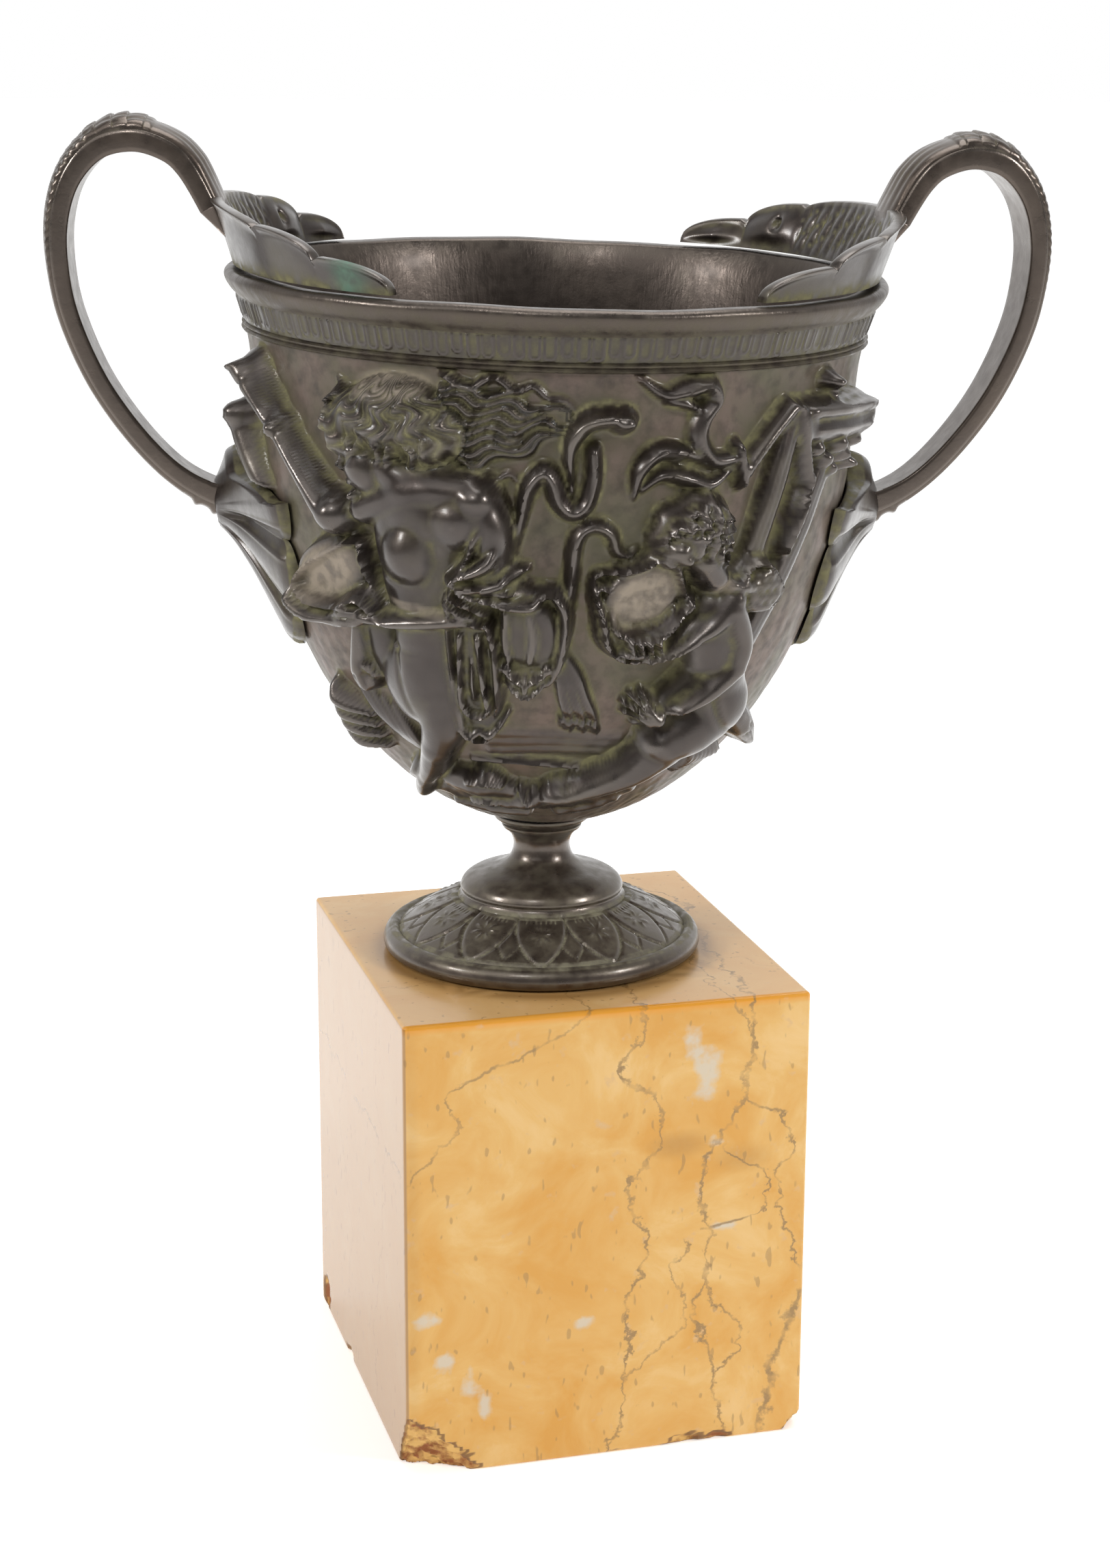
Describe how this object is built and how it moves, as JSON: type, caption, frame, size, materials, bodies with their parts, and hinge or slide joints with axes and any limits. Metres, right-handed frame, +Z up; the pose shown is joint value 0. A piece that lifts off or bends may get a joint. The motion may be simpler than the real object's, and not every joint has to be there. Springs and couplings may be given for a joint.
{
  "type": "kantharos",
  "caption": "Bronze drinking cup with high looped handles and a figured frieze, on a turned foot and a squared block of yellow marble.",
  "frame": {"origin": "centre of the marble block's underside, where it stands", "axes": "+Z up; the cup's front faces -Y and its handles lie along X; the block is turned 15.4 degrees about Z"},
  "size_m": [0.1934, 0.1268, 0.2571],
  "materials": {
    "yellow_marble": "polished veined marble",
    "foot_bronze": "dark patinated bronze",
    "bowl_bronze": "dark patinated bronze with green in the recesses",
    "handle_bronze": "dark patinated bronze, rubbed bright on the edges"
  },
  "bodies": {
    "root": {"plinth": "yellow_marble", "foot": "foot_bronze", "bowl": "bowl_bronze", "handle_left": "handle_bronze", "handle_right": "handle_bronze"}
  },
  "joints": []
}
